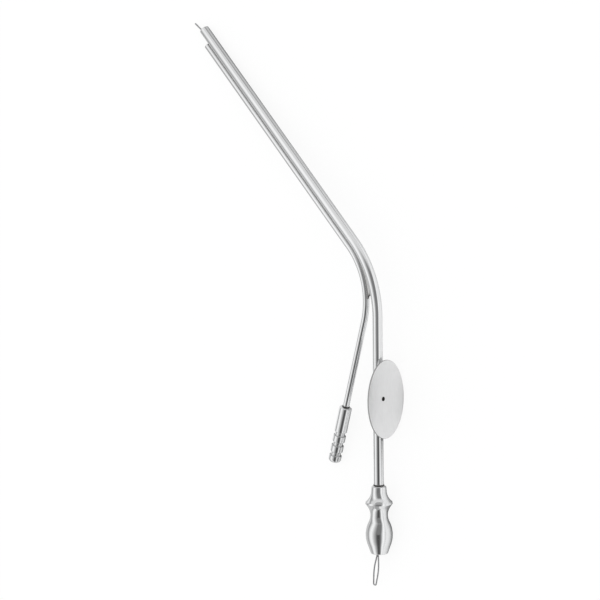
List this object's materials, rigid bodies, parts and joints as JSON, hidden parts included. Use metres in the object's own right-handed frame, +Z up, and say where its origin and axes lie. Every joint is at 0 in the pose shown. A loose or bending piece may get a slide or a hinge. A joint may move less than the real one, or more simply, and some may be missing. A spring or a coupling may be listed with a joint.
{
  "type": "suction irrigation tube",
  "caption": "Angled metal suction tube with an oval vented finger plate, an irrigation tube soldered along its tip, a turned hose olive, a ringed hose end and a wire stylet through its bore.",
  "frame": {"origin": "middle of the bounding box at the level of the surface that it lies on", "axes": "+Z up as it lies on its side at rest; +X runs along the handle from the suction connector towards the bend; the tip turns towards +Y"},
  "size_m": [0.1864, 0.0862, 0.0175],
  "materials": {
    "polished_steel": "bright polished stainless steel",
    "satin_steel": "fine satin stainless steel",
    "silver_solder": "polished silver solder",
    "spring_wire": "drawn steel wire"
  },
  "bodies": {
    "root": {"suction_tube": "polished_steel", "irrigation_tube": "polished_steel", "tube_solder": "silver_solder", "finger_plate": "satin_steel", "plate_solder": "silver_solder", "suction_connector": "polished_steel", "irrigation_connector": "polished_steel", "stylet": "spring_wire"}
  },
  "joints": []
}
